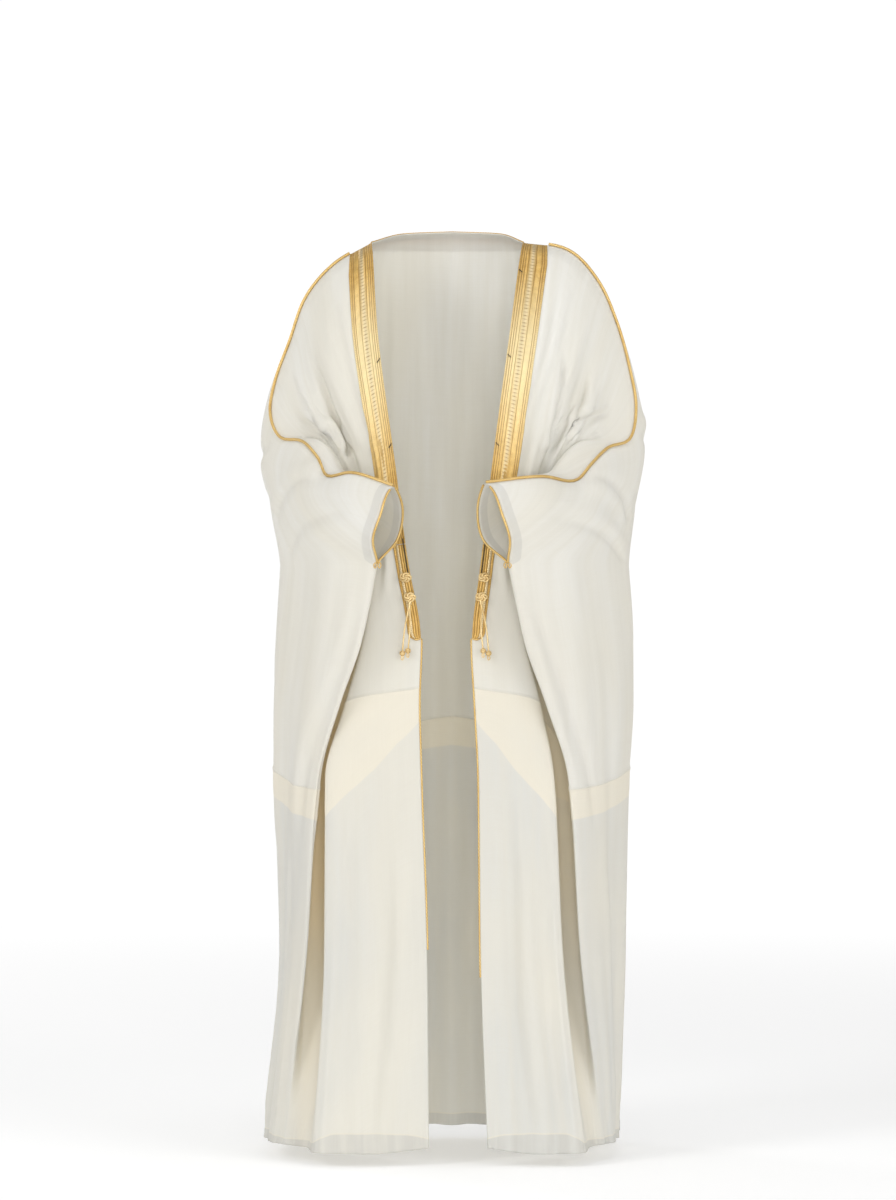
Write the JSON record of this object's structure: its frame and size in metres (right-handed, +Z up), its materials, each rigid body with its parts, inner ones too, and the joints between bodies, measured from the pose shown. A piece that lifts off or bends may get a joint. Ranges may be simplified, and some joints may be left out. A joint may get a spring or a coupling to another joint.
{
  "type": "bisht cloak",
  "caption": "Long open-fronted cloak of sheer cream cloth, worn over the shoulders with bent arms, with gold embroidered front and neck bands, gold seam cords, slit cuffs and tassels.",
  "frame": {"origin": "centre back of the neck edge, where the garment hangs on the nape and shoulders of its wearer", "axes": "+Z up, the open front faces -Y, +X is the wearer's left"},
  "size_m": [0.6302, 0.4811, 1.4939],
  "materials": {
    "cream_cloth": "sheer matt plain weave",
    "gold_zari": "satin metal-thread embroidery",
    "gold_cord": "twisted metal thread"
  },
  "bodies": {
    "root": {"front_upper_right": "cream_cloth", "front_upper_left": "cream_cloth", "front_lower_right": "cream_cloth", "front_lower_left": "cream_cloth", "sleeve_right": "cream_cloth", "sleeve_left": "cream_cloth", "side_lower_right": "cream_cloth", "side_lower_left": "cream_cloth", "back_upper": "cream_cloth", "back_lower": "cream_cloth", "neck_band": "gold_zari", "band_right": "gold_zari", "band_left": "gold_zari", "band_tail_right": "gold_zari", "band_tail_left": "gold_zari", "shoulder_cord_right": "gold_cord", "shoulder_cord_left": "gold_cord", "cuff_cord_right": "gold_cord", "cuff_cord_left": "gold_cord", "front_edge_cord_right": "gold_cord", "front_edge_cord_left": "gold_cord", "knot_right": "gold_cord", "knot_left": "gold_cord", "tassel_right": "gold_cord", "tassel_left": "gold_cord"}
  },
  "joints": []
}
